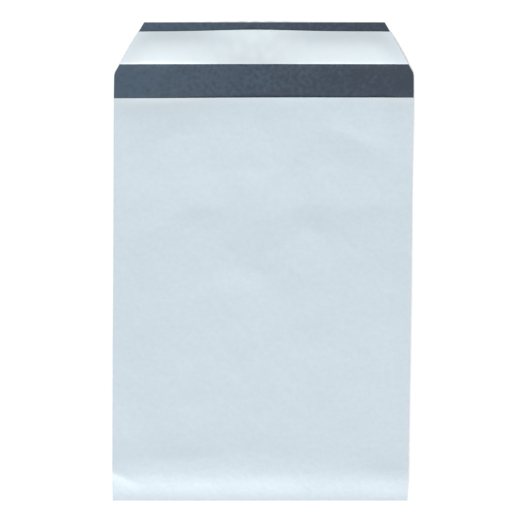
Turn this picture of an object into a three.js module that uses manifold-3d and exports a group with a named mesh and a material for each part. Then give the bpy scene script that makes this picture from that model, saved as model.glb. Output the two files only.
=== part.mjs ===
// A poly mailer bag, empty and lying flat on its back with the closing flap open.
// One web of co-extruded film is folded across the bottom and welded up both sides. The back panel runs on
// past the mouth as the flap. The flap's inner face carries a strip of glue under a peel-off release liner.
// Millimetres. +X runs across the bag, +Y from the bottom fold to the flap's free edge, +Z up out of the
// front panel. The origin is on the resting face, under the middle of the opened bag.
import * as THREE from "three";
import { mergeVertices } from "three/addons/utils/BufferGeometryUtils.js";
import Module from "manifold-3d";

const wasm = await Module();
wasm.setup();

// The film web
const bagWidth = 165;
const bagLength = 222; // bottom fold to mouth
const filmThickness = 0.06;
const weldWidth = 1.5; // each side, where both panels are melted together

// The flap, measured up from the mouth
const flapLength = 41.5;
const flapShoulder = 13.2; // full width up to here, then tapered
const flapTaper = 16.2; // how far each side has come in at the free edge

// The closing strip, measured down from the flap's free edge
const linerMargin = 5.1; // bare film beyond the liner
const linerWidth = 18;
const linerThickness = 0.07;
const glueInset = 2.2; // the liner overhangs the glue by this much on both long edges
const glueThickness = 0.04;

// The air left in the empty bag
const pocketHeight = 4.9; // between the panels, mid-bag
const mouthGape = 4.7; // between the panels, at the middle of the mouth
const seamGap = 0.02; // where the panels part, along the welds and the fold
const foldRise = 40; // the front panel climbs from the fold over this length
const acrossPower = 4; // 2 is a round arch from weld to weld, more is flatter on top
const risePower = 2.4;

// How finely the arched panel is faceted
const cellsAcross = 26;
const cellsAlong = 30;

const film = new THREE.MeshStandardMaterial({ color: 0xd1dee6, roughness: 0.42, metalness: 0 });
const glue = new THREE.MeshStandardMaterial({ color: 0xcfc9b8, roughness: 0.3, metalness: 0 });
const liner = new THREE.MeshStandardMaterial({ color: 0xe4edf1, roughness: 0.5, metalness: 0 });

const halfPocket = bagWidth / 2 - weldWidth;
const fullLength = bagLength + flapLength;

// Distance between the two panels, x from the centre line and y from the bottom fold.
function gapAt(x, y) {
  const across = 1 - Math.min(1, Math.abs(x) / halfPocket) ** acrossPower;
  const climb = 1 - Math.max(0, 1 - y / foldRise) ** risePower;
  const towardsMouth = THREE.MathUtils.smoothstep(y, foldRise, bagLength);
  const height = THREE.MathUtils.lerp(pocketHeight, mouthGape, towardsMouth);
  return seamGap + height * across * climb;
}

// Evenly spaced values from low to high, both ends included.
function spaced(low, high, cells) {
  return Array.from({ length: cells + 1 }, (_, i) => THREE.MathUtils.lerp(low, high, i / cells));
}

function solidOf(geometry) {
  geometry.deleteAttribute("normal");
  geometry.deleteAttribute("uv");
  const merged = mergeVertices(geometry, 1e-4);
  const mesh = new wasm.Mesh({
    numProp: 3,
    vertProperties: merged.attributes.position.array,
    triVerts: new Uint32Array(merged.index.array),
  });
  return new wasm.Manifold(mesh);
}

function geometryOf(solid) {
  const mesh = solid.getMesh();
  const geometry = new THREE.BufferGeometry();
  geometry.setAttribute("position", new THREE.BufferAttribute(mesh.vertProperties, 3));
  geometry.setIndex(new THREE.BufferAttribute(mesh.triVerts, 1));
  geometry.computeVertexNormals();
  return geometry;
}

// A block over the grid lines xs and ys, flat underneath at floor and with its top at topAt(x, y).
function block(xs, ys, floor, topAt) {
  const geometry = new THREE.BoxGeometry(1, 1, 1, xs.length - 1, ys.length - 1, 1);
  const corners = geometry.attributes.position;
  for (let i = 0; i < corners.count; i++) {
    const x = xs[Math.round((corners.getX(i) + 0.5) * (xs.length - 1))];
    const y = ys[Math.round((corners.getY(i) + 0.5) * (ys.length - 1))];
    corners.setXYZ(i, x, y, corners.getZ(i) > 0 ? topAt(x, y) : floor);
  }
  return solidOf(geometry);
}

// Half the flap's width at a height above the mouth.
function flapHalfWidth(height) {
  const tapered = Math.max(0, height - flapShoulder) / (flapLength - flapShoulder);
  return bagWidth / 2 - flapTaper * tapered;
}

// The outline of the film between two heights above the mouth, cut to the flap's own sides.
function flapOutline(low, high) {
  const heights = [low, flapShoulder, high].filter((h, i) => i !== 1 || (h > low && h < high));
  const right = heights.map((h) => new THREE.Vector2(flapHalfWidth(h), bagLength + h));
  const left = right.map((p) => new THREE.Vector2(-p.x, p.y)).reverse();
  return new THREE.Shape([...right, ...left]);
}

function extruded(shape, thickness) {
  return new THREE.ExtrudeGeometry(shape, { depth: thickness, bevelEnabled: false });
}

// The web of film: the back panel with its flap, and the front panel arched over the pocket.
function bagFilm() {
  const pocketXs = spaced(-halfPocket, halfPocket, cellsAcross);
  const pocketYs = spaced(filmThickness, bagLength, cellsAlong);
  const outerXs = [-bagWidth / 2, ...pocketXs, bagWidth / 2];
  const outerYs = [0, ...pocketYs];
  const pastMouth = bagLength + flapLength / 2;
  const panels = block(outerXs, outerYs, 0, (x, y) => 2 * filmThickness + gapAt(x, y));
  const pocket = block(pocketXs, [...pocketYs, pastMouth], filmThickness, (x, y) => filmThickness + gapAt(x, y));
  const backWithFlap = solidOf(extruded(flapOutline(-bagLength, flapLength), filmThickness));
  return panels.subtract(pocket).add(backWithFlap);
}

function named(name, geometry, material, height) {
  const mesh = new THREE.Mesh(geometry, material);
  mesh.name = name;
  mesh.position.z = height;
  return mesh;
}

const linerHigh = flapLength - linerMargin;
const linerLow = linerHigh - linerWidth;
const linerStrip = extruded(flapOutline(linerLow, linerHigh), linerThickness);
const glueStrip = extruded(flapOutline(linerLow + glueInset, linerHigh - glueInset), glueThickness);

const bag = new THREE.Group();
bag.position.y = -fullLength / 2;
bag.add(named("bag_film", geometryOf(bagFilm()), film, 0));
bag.add(named("adhesive_strip", glueStrip, glue, filmThickness));
bag.add(named("release_liner", linerStrip, liner, filmThickness + glueThickness));

const mailer = new THREE.Group();
mailer.add(bag);

export default mailer;
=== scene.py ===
import bpy
import numpy as np
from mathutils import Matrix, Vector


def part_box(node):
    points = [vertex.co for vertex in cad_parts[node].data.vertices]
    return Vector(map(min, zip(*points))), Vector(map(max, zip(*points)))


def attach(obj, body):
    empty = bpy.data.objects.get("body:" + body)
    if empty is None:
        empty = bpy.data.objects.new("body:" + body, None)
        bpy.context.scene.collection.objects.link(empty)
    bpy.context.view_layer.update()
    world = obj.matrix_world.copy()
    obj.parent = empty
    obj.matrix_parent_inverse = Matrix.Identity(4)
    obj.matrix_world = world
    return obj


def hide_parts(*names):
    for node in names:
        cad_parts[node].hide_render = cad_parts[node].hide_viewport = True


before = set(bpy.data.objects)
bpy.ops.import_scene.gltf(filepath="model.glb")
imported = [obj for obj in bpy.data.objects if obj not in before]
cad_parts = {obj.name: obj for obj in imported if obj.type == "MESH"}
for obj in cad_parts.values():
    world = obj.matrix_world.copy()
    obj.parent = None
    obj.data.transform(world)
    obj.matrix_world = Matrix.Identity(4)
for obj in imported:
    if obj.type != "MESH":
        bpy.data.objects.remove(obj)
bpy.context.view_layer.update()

mm = 0.001
mouthAt = 222.0  # from the bottom fold to the mouth
filmLow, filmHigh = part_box("bag_film")
linerLow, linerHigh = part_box("release_liner")
glueLow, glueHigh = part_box("adhesive_strip")
foldY = filmLow.y  # the bottom fold, in metres
print("frame loaded,", len(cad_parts), "nodes, film", [round(v / mm, 1) for v in (filmHigh - filmLow)])

bag = {
    "width": (filmHigh.x - filmLow.x) / mm,
    "bodyLength": mouthAt,
    "flapLength": (filmHigh.y - filmLow.y) / mm - mouthAt,
    "flapShoulder": 13.2,  # full width up to here, above the mouth
    "flapTaper": 16.2,  # each side's way in at the free edge
    "filmThickness": 0.06,
    "foldRadius": 0.3,
    "weldWidth": 1.5,
    "weldBead": 0.10,  # how much thicker the melted edge is
    "beadReach": 0.5,
    "narrowing": 0.0157,  # the limp bag is this share slimmer at the fold than at the mouth
    "lean": 2.06,  # and its fold lies this far to the left of its mouth
    "mouthSlant": 0.3,  # the mouth's right end stands this much higher than its left end
    "mouthBack": 0.25,  # the arched front panel's edge lies this much further down than the flat one's
    "settle": 0.16,  # the whole bag is let down onto the floor by this
}


def smooth(t):
    # 0 to 1 with level ends, as 3t^2 - 2t^3 of t held between 0 and 1
    t = np.clip(t, 0, 1)
    return t * t * (3 - 2 * t)


def swells(x, y, rows):
    # the sum of Gaussian hills, each height * exp(-u^2 - v^2) for u and v in reaches from its middle,
    # by rows of x, y, reach along x, reach along y, height
    return sum(h * np.exp(-(((x - x0) / rx) ** 2) - ((y - y0) / ry) ** 2) for x0, y0, rx, ry, h in rows)


# Rows of soft creases: x, y, reach along, fall below, fall above, turn in degrees, bend, height.
# A height above 0 is a ridge and below 0 a valley. Each falls off over one length down the bag and over
# another up it. The ends of a bent one lie that much further down.
creaseRound = 2.5  # the square of the length over which a crease's line is rounded


def creases(x, y, rows):
    # the sum of ridges and valleys, each height * exp(-u^2 - (sqrt(v^2 + r) - sqrt(r)) / fall) for u along
    # the line in reaches, v up across it in millimetres and r the rounding
    z = np.zeros_like(x)
    for x0, y0, along, below, above, turn, bend, height in rows:
        c, s = np.cos(np.radians(turn)), np.sin(np.radians(turn))
        u = ((x - x0) * c + (y - y0) * s) / along
        v = -(x - x0) * s + (y - y0) * c + bend * u * u
        away = np.sqrt(v * v + creaseRound) - np.sqrt(creaseRound)
        z += height * np.exp(-u * u - away / np.where(v < 0, below, above))
    return z


crinkle = {  # many short faint creases of the front panel, scattered
    "seed": 17,
    "count": 90,
    "from": 22.0,  # above the fold
    "reach": (4.0, 13.0),
    "fallBelow": (1.5, 5.0),
    "fallAbove": (1.5, 5.0),
    "turn": 38.0,
    "height": 0.03,
}


def scattered(x, y):
    # short creases at random places, turned and sized at random
    rng = np.random.default_rng(crinkle["seed"])
    count, half = crinkle["count"], bag["width"] / 2
    ranges = [
        (-half, half), (crinkle["from"], bag["bodyLength"]),
        crinkle["reach"], crinkle["fallBelow"], crinkle["fallAbove"]]
    columns = [rng.uniform(low, high, count) for low, high in ranges]
    turns = rng.normal(0, crinkle["turn"], count)
    heights = rng.normal(0, crinkle["height"], count)
    return creases(x, y, np.stack([*columns, turns, np.zeros(count), heights], axis=1))


# Ripples: seed, count, shortest and longest wave, root mean square height
rippleRows = {
    "lifts": (5, 12, 55, 130, 0.9),
    "slow": (11, 30, 25, 90, 0.12),
    "middling": (12, 40, 9, 26, 0.03),
    "short": (13, 40, 4, 9, 0.018),
    "pucker": (23, 14, 9, 30, 0.5),
    "crumple": (31, 14, 6, 13, 1.0),
}


def ripples(x, y, name):
    # the sum of plane waves of random heading and length, scaled to the root mean square height
    seed, count, shortest, longest, height = rippleRows[name]
    rng = np.random.default_rng(seed)
    heading = rng.uniform(0, np.pi, count)
    length = np.exp(rng.uniform(np.log(shortest), np.log(longest), count))
    phase = rng.uniform(0, 2 * np.pi, count)
    z = np.zeros_like(x)
    for h, l, p in zip(heading, length, phase):
        z += l * np.cos(2 * np.pi * (x * np.cos(h) + y * np.sin(h)) / l + p)
    return height * z / np.sqrt((length**2).sum() / 2)


flap = {
    "crestHeight": 2.2,
    "crestY": 250.6,  # the laminated strip is stiff and bows up along this line
    "crestReach": 14.0,  # as far as this towards the mouth, and less far towards the free edge
    "crestFarReach": 11.8,
    "endShare": 0.75,  # it is this share lower at the flap's two ends
    "endReach": 8.0,
    "dentX": -6.0,  # in the middle the bow is dented, and the free edge stands up
    "dentReach": 24.0,
    "dentFrom": 242.0,
    "dentCurve": 0.0045,  # its upward curve beyond there, per mm
    "hillHeight": 0.35,  # before the dent the film stands a little prouder
    "hillY": 236.0,
    "hillReach": 6.0,
    "edgeDrop": 0.75,  # beyond the liner the bare film comes down again by this
    "crumple": 0.09,  # fine ripples in the dent
    "crumpleLeast": 0.2,  # of which this share is left at the flap's ends
    "crumpleScale": (1.4, 0.9),  # closer together across the bag than along it
    "crumpleFrom": 6.0,  # above the mouth, coming in over this length
    "crumpleOver": 12.0,
    "cornerRound": 0.8,
    "cornerFar": 3.0,  # the straight side is left as it is beyond this many times the rounding
}


def halfWidth(y):
    # the film's half width: straight up to the flap's shoulder, then tapered, the corner a little rounded
    corner = flap["cornerRound"]
    beyond = y - bag["bodyLength"] - bag["flapShoulder"]
    eased = (beyond + np.sqrt(beyond**2 + corner**2)) / 2
    eased = eased - corner**2 / 4 / np.sqrt(beyond**2 + (flap["cornerFar"] * corner) ** 2)
    tapered = np.maximum(0, eased) / (bag["flapLength"] - bag["flapShoulder"])
    return bag["width"] / 2 - bag["flapTaper"] * tapered


def dentShare(x, reach):
    # 1 in the middle of the flap's dent, falling to 0 away from it
    return np.exp(-(((x - flap["dentX"]) / reach) ** 2))


roll = {  # both panels come down together at the bottom, where the web was folded
    "height": 3.2,
    "middle": 8.9,  # steepest this far above the fold
    "reach": 7.6,
    "fadeLength": 150.0,
    "rightShare": 0.25,  # it is this share weaker on the right, from this far out and over this length
    "rightFrom": 10.0,
    "rightOver": 60.0,
    "leftShare": 0.10,  # and this share weaker on the left
    "leftFrom": 25.0,
    "leftOver": 40.0,
}


def rollHeight(x, y):
    # the climb out of the bottom fold, a tanh step that fades slowly up the bag and is weaker to both sides
    level = np.tanh((y - roll["middle"]) / roll["reach"]) + np.tanh(roll["middle"] / roll["reach"])
    weaker = roll["rightShare"] * smooth((x - roll["rightFrom"]) / roll["rightOver"])
    weaker = weaker + roll["leftShare"] * smooth((-x - roll["leftFrom"]) / roll["leftOver"])
    return roll["height"] / 2 * (1 - weaker) * level * np.exp(-((y / roll["fadeLength"]) ** 2))


lifts = {  # the limp film stands off the floor a little, in waves
    "side": 0.6,
    "sideReach": 20.0,  # in from each side
    "body": 0.2,
    "foldReach": 12.0,  # none at the fold, all of it from here up
    "flapShare": 0.7,  # this share less on the flap, from this far above the mouth
    "flapReach": 12.0,
}


def liftHeight(x, y):
    # the waves by which the film stands off the floor, more along its two sides and less on the flap
    side = np.exp(-(((halfWidth(y) - np.abs(x)) / lifts["sideReach"]) ** 2))
    wave = 0.5 + 0.5 * np.tanh(ripples(x, y, "lifts"))
    lift = (lifts["side"] * side * wave + lifts["body"] * wave) * smooth(y / lifts["foldReach"])
    return lift * (1 - lifts["flapShare"] * smooth((y - bag["bodyLength"]) / lifts["flapReach"]))


strip = {
    "linerThickness": (linerHigh.z - linerLow.z) / mm,
    "glueThickness": (glueHigh.z - glueLow.z) / mm,
    "linerFrom": (linerLow.y - foldY) / mm,
    "linerTo": (linerHigh.y - foldY) / mm,
    "glueFrom": (glueLow.y - foldY) / mm,
    "glueTo": (glueHigh.y - foldY) / mm,
    "seat": 0.01,  # between the film and the glue, and between the glue and the liner
    "linerCrown": 0.30,  # the liner's own arch between its free long edges
    "edgeCurl": 1.6,  # which it gains within this much of each long edge
    "curlPower": 4,
    "linerLip": 0.16,  # its lower edge is curled down by this
    "lipReach": 0.7,
    "linerFlare": 0.30,  # over the dent its upper edge turns up by this
    "flareReach": 3.5,
    "linerBulge": 0.9,  # over the dent its upper edge stands out this much further
    "bulgeReach": 36.0,
}


def bowHeight(x, y):
    # the flap's bow: a raised cosine over its crest, lower at the ends, and the crumpled dent in its middle
    dent = dentShare(x, flap["dentReach"])
    fromCrest = y - flap["crestY"]
    fromCrest = fromCrest / np.where(fromCrest < 0, flap["crestReach"], flap["crestFarReach"])
    ends = 1 - flap["endShare"] * np.exp(-(((halfWidth(y) - np.abs(x)) / flap["endReach"]) ** 2))
    arched = flap["crestHeight"] * ends * (0.5 + 0.5 * np.cos(np.pi * np.clip(fromCrest, -1, 1)))
    tip = smooth((y - strip["linerTo"]) / (bag["bodyLength"] + bag["flapLength"] - strip["linerTo"]))
    dented = flap["dentCurve"] / 2 * np.maximum(0, y - flap["dentFrom"]) ** 2 - flap["edgeDrop"] * tip
    dented = dented + flap["hillHeight"] * np.exp(-(((y - flap["hillY"]) / flap["hillReach"]) ** 2))
    scaleX, scaleY = flap["crumpleScale"]
    crumple = flap["crumple"] * ripples(scaleX * x, scaleY * y, "crumple")
    crumple = crumple * smooth((y - bag["bodyLength"] - flap["crumpleFrom"]) / flap["crumpleOver"])
    crumpleShare = flap["crumpleLeast"] + (1 - flap["crumpleLeast"]) * dent
    return arched * (1 - dent) + dented * dent + crumple * crumpleShare


bagCreases = [  # of both panels together
    (-80, 15.0, 11, 1.7, 14, -27, 0, 0.75),
    (72, 225, 30, 60, 8, 0, 0, 0.8),
    (-62, 219, 28, 9, 7, 2, 0, -0.95),
    (75, 219, 14, 8, 6, -5, 0, -0.55),
    (-48, 23, 32, 45, 9, 2, 0, 0.9),
    (6, 25, 34, 45, 15, -2, 0, 0.55),
    (72, 16, 18, 30, 8, 0, 0, 0.9),
    (72, 9, 16, 6, 20, 0, 0, -0.35),
]
bagSwells = [  # and their low hills
    (-70, 60, 14, 30, 0.4),
    (78, 95, 12, 40, 0.5),
    (76, 10, 16, 6, 0.4),
    (0, 215, 72, 31, 3.0),
    (0, 120, 75, 75, 0.6),
]


def backHeight(x, y):
    # the middle surface of the back panel and flap, above the floor
    waves = swells(x, y, bagSwells) + creases(x, y, bagCreases)
    shape = rollHeight(x, y) + liftHeight(x, y) + bowHeight(x, y) + waves
    return bag["filmThickness"] / 2 - bag["settle"] + shape


pocket = {  # the air between the panels
    "height": 1.9,
    "mouthGape": 0.75,
    "riseLength": 170.0,  # the front panel climbs slowly from the fold over this length
    "fallLength": 55.0,  # and comes down again towards the mouth over this one
    "acrossPower": 3.2,
    "seam": 0.02,
    "freeReach": 0.5,  # details of the front panel fade out where the gap gets as small as this
    "leastShare": 0.15,  # no detail takes the gap below this share of the arch
    "lipHeight": 0.33,  # the mouth's edge is turned up by this
    "lipReach": 1.9,
    "lipMiddle": 0.7,  # and by this share more near its middle
    "lipMiddleX": 15.0,
    "lipMiddleReach": 38.0,
    "pucker": 0.3,  # small gathers along the welds
    "puckerReach": 9.0,
    "puckerSlant": 0.2,
    "puckerApart": 40.0,  # the two sides take their gathers this far from the middle of one pattern
}

frontCreases = [  # of the front panel alone
    (-60, 221.5, 30, 9, 5, 2, 0, -0.75),
    (0, 203, 11, 6, 9, -60, 0, 0.50),
    (52, 199, 23, 12, 7, -20, 3, -0.90),
    (-54, 199, 24, 12, 12, 28, 0, 0.75),
    (14, 184, 38, 17, 16, 0, 0, 0.75),
    (-36, 161.5, 22, 11, 20, 5, 6, -0.82),
    (-64, 149, 16, 10, 14, 16, 0, -0.46),
    (27, 163, 22, 11, 20, 5, 5, -0.78),
    (70, 162, 22, 13, 16, -6, 2, -0.74),
    (-18, 139, 11, 8, 7, -60, 0, 0.26),
    (5, 138, 11, 8, 7, 48, 0, 0.26),
    (-9, 127, 17, 9, 9, 0, 2, 0.66),
    (25, 150, 11, 9, 9, 0, 8, 0.56),
    (44, 144, 15, 9, 9, -34, 0, 0.44),
    (-33, 55.5, 18, 20, 7, 6, 3, 0.46),
    (-73, 47, 13, 18, 4, 2, 3, 0.30),
    (-72, 26, 12, 16, 7, 2, 0, 0.50),
    (70, 32, 15, 10, 8, 18, 0, -0.70),
]
frontSwells = [(67, 222, 9, 14, 1.35)]  # the mouth stands a little more open on the right than in the middle


def pocketGap(x, y):
    # from the back panel's middle surface to the front panel's: an arch across, a slow climb from the fold,
    # a fall to the mouth, and the front's own creases, ripples and lip where there is room for them
    inside = bag["width"] / 2 - bag["weldWidth"]
    across = 1 - np.minimum(1, np.abs(x) / inside) ** pocket["acrossPower"]
    climb = smooth(y / pocket["riseLength"])
    towardsMouth = smooth((y - bag["bodyLength"] + pocket["fallLength"]) / pocket["fallLength"])
    arch = (pocket["height"] * climb + (pocket["mouthGape"] - pocket["height"]) * towardsMouth) * across
    free = 1 - np.exp(-arch / pocket["freeReach"])
    detail = creases(x, y, frontCreases) + swells(x, y, frontSwells) + scattered(x, y)
    detail = detail + ripples(x, y, "slow") + ripples(x, y, "middling") + ripples(x, y, "short")
    lip = 1 + pocket["lipMiddle"] * np.exp(-(((x - pocket["lipMiddleX"]) / pocket["lipMiddleReach"]) ** 2))
    lip = lip * pocket["lipHeight"] * np.exp(-(bag["bodyLength"] - y) / pocket["lipReach"])
    edge = np.exp(-(bag["width"] / 2 - np.abs(x)) / pocket["puckerReach"])
    gathers = ripples(y + pocket["puckerSlant"] * np.abs(x), np.sign(x) * pocket["puckerApart"], "pucker")
    gap = arch + free * (detail + pocket["pucker"] * edge * gathers + lip)
    return bag["filmThickness"] + pocket["seam"] + np.maximum(gap, pocket["leastShare"] * arch)


def place(x, y, z):
    # the limp bag's lean and narrowing, then millimetres to the part's frame in metres
    down = 1 - y / bag["bodyLength"]
    leaned = x * (1 - bag["narrowing"] * np.maximum(down, 0)) + bag["lean"] * (0.5 - down)
    return np.stack([leaned * mm, y * mm + foldY, z * mm], axis=-1)


def spacedFrom(edgeSteps, low, high, step):
    # positions from low to high with small steps at both ends and an even step between
    inner = np.arange(1, int(round((high - low - 2 * edgeSteps[-1]) / step))) * step
    inner = low + edgeSteps[-1] + inner * (high - low - 2 * edgeSteps[-1]) / (inner[-1] + step)
    return np.concatenate([low + np.array(edgeSteps), inner, high - np.array(edgeSteps)[::-1]])


def normalsOf(points):
    # unit normals of a grid of points, from the cross product of its two directions
    along = np.gradient(points, axis=0)
    across = np.gradient(points, axis=1)
    n = np.cross(across, along)
    return n / np.linalg.norm(n, axis=-1, keepdims=True)


def shellMesh(name, middle, thickness, materials):
    # a closed thin shell about a grid: the middle surface moved half the thickness each way and joined
    # at the rim. The outer face takes the first material and the inner one the last.
    rows, columns = middle.shape[:2]
    half = normalsOf(middle) * np.broadcast_to(thickness, (rows, columns))[..., None] / 2
    points = np.concatenate([(middle + half).reshape(-1, 3), (middle - half).reshape(-1, 3)])
    count = rows * columns
    grid = np.arange(count).reshape(rows, columns)
    top = np.stack([grid[:-1, :-1], grid[:-1, 1:], grid[1:, 1:], grid[1:, :-1]], -1).reshape(-1, 4)
    bottom = top[:, ::-1] + count
    ring = np.concatenate([grid[0, :], grid[1:, -1], grid[-1, -2::-1], grid[-2:0:-1, 0]])
    nextRing = np.roll(ring, -1)
    rim = np.stack([ring, ring + count, nextRing + count, nextRing], -1)
    faces = np.concatenate([top, bottom, rim]).astype(np.int32)
    mesh = bpy.data.meshes.new(name)
    mesh.vertices.add(len(points))
    mesh.vertices.foreach_set("co", points.astype(np.float32).ravel())
    mesh.loops.add(faces.size)
    mesh.loops.foreach_set("vertex_index", faces.ravel())
    mesh.polygons.add(len(faces))
    mesh.polygons.foreach_set("loop_start", np.arange(0, faces.size, 4, dtype=np.int32))
    mesh.update(calc_edges=True)
    slots = np.repeat([0, len(materials) - 1, 0], [len(top), len(bottom), len(rim)]).astype(np.int32)
    mesh.polygons.foreach_set("material_index", slots)
    mesh.polygons.foreach_set("use_smooth", np.ones(len(faces), bool))
    # the edges between the rim and the two faces are sharp
    onRim = np.zeros(len(points), bool)
    onRim[ring] = onRim[ring + count] = True
    ends = np.zeros(len(mesh.edges) * 2, np.int32)
    mesh.edges.foreach_get("vertices", ends)
    ends = ends.reshape(-1, 2)
    sameSide = (ends[:, 0] < count) == (ends[:, 1] < count)
    sharp = mesh.attributes.new("sharp_edge", "BOOLEAN", "EDGE")
    sharp.data.foreach_set("value", onRim[ends].all(axis=1) & sameSide)
    for material in materials:
        mesh.materials.append(material)
    piece = bpy.data.objects.new(name, mesh)
    bpy.context.scene.collection.objects.link(piece)
    return piece


class Shade:
    # a socket of a material: arithmetic on it adds the Math node
    def __init__(self, finish, socket):
        self.finish, self.socket = finish, socket

    def math(self, operation, first, second):
        return self.finish.node("ShaderNodeMath", {"operation": operation}, {0: first, 1: second})

    def __add__(self, other):
        return self.math("ADD", self, other)

    def __radd__(self, other):
        return self.math("ADD", other, self)

    def __sub__(self, other):
        return self.math("SUBTRACT", self, other)

    def __rsub__(self, other):
        return self.math("SUBTRACT", other, self)

    def __mul__(self, other):
        return self.math("MULTIPLY", self, other)

    def __rmul__(self, other):
        return self.math("MULTIPLY", other, self)


class Finish:
    # a material's or world's node tree, filled by one method
    def __init__(self, owner):
        owner.use_nodes = True
        self.tree = owner.node_tree
        self.tree.nodes.clear()

    def node(self, kind, settings, inputs, output=0):
        made = self.tree.nodes.new(kind)
        for key, value in settings.items():
            setattr(made, key, value)
        for key, value in inputs.items():
            if isinstance(value, Shade):
                self.tree.links.new(value.socket, made.inputs[key])
            else:
                made.inputs[key].default_value = value
        return Shade(self, made.outputs[output]) if made.outputs else made


def linear(red, green, blue):
    # an 8-bit display colour as the linear colour that nodes take, by the sRGB curve
    c = np.array([red, green, blue]) / 255
    c = np.where(c > 0.04045, ((c + 0.055) / 1.055) ** 2.4, c / 12.92)
    return (*[float(v) for v in c], 1.0)


# Looks: colours are 8-bit display colours, a texture's Scale is per metre
filmOutside = {
    "colour": (208.4, 222.0, 230.1),
    "mottle": (203.6, 217.1, 225.5),
    "roughness": 0.40,
    "turn": 0.0,
    "warm": (206.8, 217.2, 223.0),  # warmer and a little darker below the mouth's two ends
}

filmInside = {
    "colour": (63, 81, 98),
    "mottle": (43, 54.5, 69),
    "roughness": 0.42,
    "turn": 7.0,  # painted shade: it darkens from left to right for the sheen that fades towards the right, in shares of the mottle per metre
    "warm": None,
}

filmTexture = {
    "clouds": {"Scale": 70.0, "Detail": 5.0},
    "speckle": {"Scale": 400.0, "Detail": 1.0},
    "grain": {"Scale": 1400.0, "Detail": 2.0},  # of the satin face
    "crumple": {"Scale": 130.0, "Detail": 2.0, "Distortion": 0.6},
    "fine": {"Scale": 330.0, "Detail": 1.0},
    "lines": {"Scale": 1.0, "Detail": 2.0},
    "lineStretch": (6, 900, 900),  # per metre; the faint die lines of the extruded web run across the bag
    "cloudMottle": 0.6,  # what each of them adds to the mottle, of which this much is taken off
    "lineMottle": 0.2,
    "speckleMottle": 1.6,
    "mottleLess": 0.7,
    "cloudRough": 0.08,  # to the roughness
    "lineRough": 0.04,
    "roughLess": 0.06,
    "grainBump": 0.02,  # and to the bump
    "lineBump": 0.03,
    "crumpleBump": 1.1,
    "fineBump": 0.4,
    "bumpStrength": 0.8,
    "bumpDepth": 0.00016,
    "ior": 1.5,
}

# The warm tint's share is a y + b up the bag times c |x - d| + e across it, each held between 0 and 1, in
# metres: over the last 11 mm below the mouth, and further than 9 mm from a line 20 mm right of the middle
warmth = {"upGain": 105.0, "upStart": -8.3, "asideMiddle": 0.02, "asideGain": 20.0, "asideStart": -0.18}

linerLook = {
    "colour": (217, 231, 239),
    "mottle": (224, 231, 234),
    "clouds": {"Scale": 60.0, "Detail": 3.0},
    "crumple": {"Scale": 210.0, "Detail": 3.0},
    "bumpStrength": 0.3,
    "bumpDepth": 0.0001,
    "roughness": 0.27,
    "cloudRough": 0.06,
    "ior": 1.45,
}

glueLook = {
    "colour": (214, 206, 176),
    "mottle": (196, 188, 158),
    "streaks": {"Scale": 240.0, "Detail": 2.0},
    "roughness": 0.15,
    "streakRough": 0.1,
}


def startFinish(name):
    # a new material, its node tree, and the place of each point in metres
    material = bpy.data.materials.new(name)
    f = Finish(material)
    return material, f, f.node("ShaderNodeTexCoord", {}, {}, "Object")


def noise(f, points, texture):
    # Blender's noise at the given points, mostly between 0.3 and 0.7
    return f.node("ShaderNodeTexNoise", {}, {"Vector": points, **texture}, "Fac")


def blend(f, share, first, second):
    # the first colour where the share is 0 and the second where it is 1; the node's colour sockets are
    # inputs 6 and 7 and output 2
    return f.node("ShaderNodeMix", {"data_type": "RGBA"}, {"Factor": share, 6: first, 7: second}, 2)


def held(f, value, gain, start):
    # gain * value + start, held between 0 and 1
    settings = {"operation": "MULTIPLY_ADD", "use_clamp": True}
    return f.node("ShaderNodeMath", settings, {0: value, 1: gain, 2: start})


def surface(f, inputs):
    # the material's surface, one Principled shader with these inputs
    shader = f.node("ShaderNodeBsdfPrincipled", {}, inputs)
    f.node("ShaderNodeOutputMaterial", {}, {"Surface": shader})


def filmFinish(name, face):
    # satin extruded film: mottled colour, die lines across the bag, fine grain and soft crumple in the bump
    material, f, points = startFinish(name)
    t = filmTexture
    stretched = f.node("ShaderNodeMapping", {}, {"Vector": points, "Scale": t["lineStretch"]})
    lines = noise(f, stretched, t["lines"])
    clouds, speckle, grain, crumple, fine = [
        noise(f, points, t[key]) for key in ("clouds", "speckle", "grain", "crumple", "fine")]
    across = f.node("ShaderNodeSeparateXYZ", {}, {"Vector": points}, "X")
    share = clouds * t["cloudMottle"] + lines * t["lineMottle"] + speckle * t["speckleMottle"]
    # a face's turn adds painted shade: the colour darkens from left to right, standing in for sheen that
    # fades to the right
    share = share - t["mottleLess"] + across * face["turn"]
    colour = blend(f, share, linear(*face["colour"]), linear(*face["mottle"]))
    if face["warm"]:
        up = f.node("ShaderNodeSeparateXYZ", {}, {"Vector": points}, "Y")
        aside = f.node("ShaderNodeMath", {"operation": "ABSOLUTE"}, {0: across - warmth["asideMiddle"]})
        nearMouth = held(f, up, warmth["upGain"], warmth["upStart"])
        nearEnds = held(f, aside, warmth["asideGain"], warmth["asideStart"])
        colour = blend(f, nearMouth * nearEnds, colour, linear(*face["warm"]))
    height = grain * t["grainBump"] + lines * t["lineBump"]
    height = height + crumple * t["crumpleBump"] + fine * t["fineBump"]
    bump = f.node("ShaderNodeBump", {}, {
        "Strength": t["bumpStrength"], "Distance": t["bumpDepth"], "Height": height})
    rough = face["roughness"] - t["roughLess"] + clouds * t["cloudRough"] + lines * t["lineRough"]
    surface(f, {"Base Color": colour, "Roughness": rough, "IOR": t["ior"], "Normal": bump})
    return material


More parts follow.
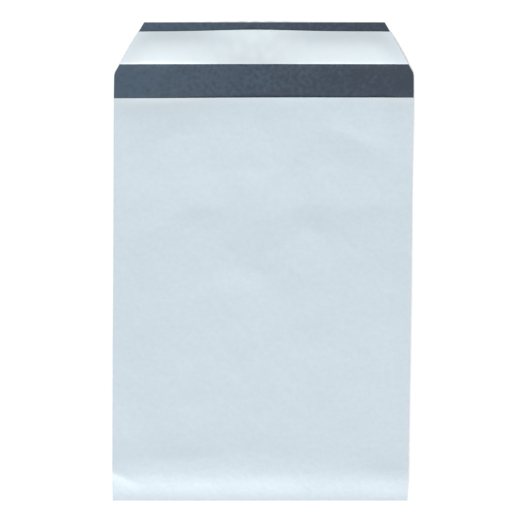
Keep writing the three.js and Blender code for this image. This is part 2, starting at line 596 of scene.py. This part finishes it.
def linerFinish():
    # silicone-coated release film: smooth, faintly mottled
    material, f, points = startFinish("releaseFilm")
    look = linerLook
    clouds = noise(f, points, look["clouds"])
    colour = blend(f, clouds, linear(*look["colour"]), linear(*look["mottle"]))
    height = noise(f, points, look["crumple"])
    bump = f.node("ShaderNodeBump", {}, {
        "Strength": look["bumpStrength"], "Distance": look["bumpDepth"], "Height": height})
    rough = look["roughness"] + clouds * look["cloudRough"]
    surface(f, {"Base Color": colour, "Roughness": rough, "IOR": look["ior"], "Normal": bump})
    return material


def glueFinish():
    # hot-melt glue, yellowish and wet-looking
    material, f, points = startFinish("hotMelt")
    streaks = noise(f, points, glueLook["streaks"])
    colour = blend(f, streaks, linear(*glueLook["colour"]), linear(*glueLook["mottle"]))
    surface(f, {"Base Color": colour, "Roughness": glueLook["roughness"] + streaks * glueLook["streakRough"]})
    return material


cells = {  # how finely the sheets are divided
    "edgeSteps": (0, 0.12, 0.3, 0.55, 0.9, 1.5),  # from each side in
    "step": 1.25,  # across the rest of the bag
    "rollLength": 30.0,  # the grid is finer up to here
    "rollRows": 34,
    "bodyRows": 108,
    "lipLength": 6.0,  # and over this length below the mouth
    "lipRows": 9,
    "foldRows": 9,
    "flapRows": 34,
    "stripColumns": 130,
    "linerRows": 26,
    "glueRows": 16,
}


def bagFilm():
    # one sheet, followed from the flap's edge down the back, round the bottom fold and up the front
    half = bag["width"] / 2
    mouth, flapEdge = bag["bodyLength"], bag["bodyLength"] + bag["flapLength"]
    columns = spacedFrom(cells["edgeSteps"], -half, half, cells["step"]) / half
    backRows = np.concatenate([
        np.linspace(bag["foldRadius"], cells["rollLength"], cells["rollRows"])[:-1],
        np.linspace(cells["rollLength"], mouth - cells["lipLength"], cells["bodyRows"])[:-1],
        np.linspace(mouth - cells["lipLength"], mouth, cells["lipRows"])])
    flapRows = np.linspace(mouth, flapEdge, cells["flapRows"])[1:]
    foldTurn = np.linspace(0, np.pi, cells["foldRows"])[1:-1]
    u, yFront = np.meshgrid(columns, backRows[::-1])
    # the slant and the arch's setback grow with the square of the way up to the mouth
    slanted = yFront + (bag["mouthSlant"] / 2 * u - bag["mouthBack"]) * (yFront / mouth) ** 2
    front = place(u * halfWidth(yFront), slanted, backHeight(u * half, yFront) + pocketGap(u * half, yFront))
    u, turn = np.meshgrid(columns, foldTurn)
    yFold = np.full_like(u, bag["foldRadius"])
    radius = pocketGap(u * half, yFold) / 2
    turned = backHeight(u * half, yFold) + radius * (1 + np.cos(turn))
    fold = place(u * half, yFold - bag["foldRadius"] * np.sin(turn), turned)
    u, yBack = np.meshgrid(columns, np.concatenate([backRows, flapRows]))
    x = u * halfWidth(yBack)
    back = place(x, yBack, backHeight(x, yBack))
    middle = np.concatenate([front, fold, back])[::-1]
    toEdge = (1 - np.abs(columns)) * half
    bead = bag["weldBead"] * np.exp(-((toEdge / bag["beadReach"]) ** 2))
    thickness = np.full(middle.shape[:2], bag["filmThickness"]) + bead
    faces = [filmFinish("filmOutside", filmOutside), filmFinish("filmInside", filmInside)]
    return shellMesh("mailer_film", middle, thickness * mm, faces)


def stripOnFlap(name, rows, low, high, thickness, above, material, crown=0, bulge=0):
    # a strip that follows the flap's bow, from side to side of the tapered flap, arched a little further by
    # crown, and turned up along its upper edge over the dent where it bulges
    evenRows = 0.5 - 0.5 * np.cos(np.pi * np.linspace(0, 1, rows))  # closer together at the long edges
    v, u = np.meshgrid(evenRows, np.linspace(-1, 1, cells["stripColumns"]), indexing="ij")
    y = low + (high - low + bulge * dentShare(u * bag["width"] / 2, strip["bulgeReach"])) * v
    x = u * halfWidth(y)
    curl = (1 - np.exp(-(y - low) / strip["edgeCurl"])) * (1 - v ** strip["curlPower"])
    dent = dentShare(x, flap["dentReach"])
    flare = strip["linerFlare"] * np.exp(-(high - y) / strip["flareReach"]) * dent
    lip = strip["linerLip"] * (1 - np.exp(-(y - low) / strip["lipReach"]))
    crowned = crown * curl * (1 - dent) + (flare + lip if bulge else 0)
    z = backHeight(x, y) + bag["filmThickness"] / 2 + above + thickness / 2 + crowned
    return shellMesh(name, place(x, y, z), thickness * mm, [material])


film = bagFilm()
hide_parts("bag_film")
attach(film, "root")
print("film", len(film.data.polygons) * 2, "triangles")

glue = stripOnFlap(
    "mailer_glue", cells["glueRows"], strip["glueFrom"], strip["glueTo"], strip["glueThickness"],
    strip["seat"], glueFinish())
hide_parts("adhesive_strip")
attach(glue, "root")
print("glue strip made")

liner = stripOnFlap(
    "mailer_liner", cells["linerRows"], strip["linerFrom"], strip["linerTo"], strip["linerThickness"],
    strip["glueThickness"] + 2 * strip["seat"], linerFinish(), strip["linerCrown"], strip["linerBulge"])
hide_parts("release_liner")
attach(liner, "root")
linerFlat = (2 * halfWidth(strip["linerFrom"]) * mm, (strip["linerTo"] - strip["linerFrom"]) * mm)
linerArea = (halfWidth(strip["linerFrom"]) + halfWidth(strip["linerTo"])) * mm * linerFlat[1]  # a trapezoid
print("release liner made")

studio = {  # lengths in metres
    "worldStrength": 0.475,  # for the light; the rays that see the background find it at 1
    "keyStrength": 2.25,
    "keyAngle": 0.57,  # in radians, a wide lamp for soft shadows
    "keyPlace": (-0.5, -2.1, 2.2),
    "floorReach": 3,
    "floorDepth": 0.00005,
    "floorColour": 0.8,
    "floorLift": 0.30,  # added for the rays that see the background, so that the floor reads white
    "cameraPlace": (-0.00102, 0.0014, 1.1),
    "lens": 138.2,
}
white = (1, 1, 1, 1)


def whiteRays(f):
    # 1 for the rays that see the background: straight from the camera, or by gloss or glass
    camera = f.node("ShaderNodeLightPath", {}, {}, "Is Camera Ray")
    glossy = f.node("ShaderNodeLightPath", {}, {}, "Is Glossy Ray")
    through = f.node("ShaderNodeLightPath", {}, {}, "Is Transmission Ray")
    return camera + glossy + through


world = bpy.data.worlds.new("studio")
bpy.context.scene.world = world
f = Finish(world)
seen = f.node("ShaderNodeMath", {"operation": "MINIMUM"}, {0: whiteRays(f), 1: 1.0})
strength = studio["worldStrength"] + seen * (1 - studio["worldStrength"])
backdrop = f.node("ShaderNodeBackground", {}, {"Color": white, "Strength": strength})
f.node("ShaderNodeOutputWorld", {}, {"Surface": backdrop})

reach, depth = studio["floorReach"], studio["floorDepth"]
corners = [(-reach, -reach, -depth), (reach, -reach, -depth), (reach, reach, -depth), (-reach, reach, -depth)]
floorMesh = bpy.data.meshes.new("floor")
floorMesh.from_pydata(corners, [], [(0, 1, 2, 3)])
floor = bpy.data.objects.new("floor", floorMesh)
bpy.context.scene.collection.objects.link(floor)
paper = bpy.data.materials.new("floorPaper")
f = Finish(paper)
lit = f.node("ShaderNodeBsdfDiffuse", {}, {"Color": (studio["floorColour"],) * 3 + (1,)})
lift = f.node("ShaderNodeEmission", {}, {"Color": white, "Strength": whiteRays(f) * studio["floorLift"]})
both = f.node("ShaderNodeAddShader", {}, {0: lit, 1: lift})
f.node("ShaderNodeOutputMaterial", {}, {"Surface": both})
floorMesh.materials.append(paper)

lamp = bpy.data.lights.new("key", "SUN")  # far off, so that it is as strong at the flap as at the fold
lamp.energy = studio["keyStrength"]
lamp.angle = studio["keyAngle"]
key = bpy.data.objects.new("key", lamp)
key.location = studio["keyPlace"]
key.rotation_euler = key.location.to_track_quat("Z", "Y").to_euler()
bpy.context.scene.collection.objects.link(key)

cameraData = bpy.data.cameras.new("camera")
cameraData.lens = studio["lens"]
camera = bpy.data.objects.new("camera", cameraData)
camera.location = studio["cameraPlace"]
bpy.context.scene.collection.objects.link(camera)
bpy.context.scene.camera = camera
bpy.context.scene.view_settings.view_transform = "Standard"
print("studio ready")
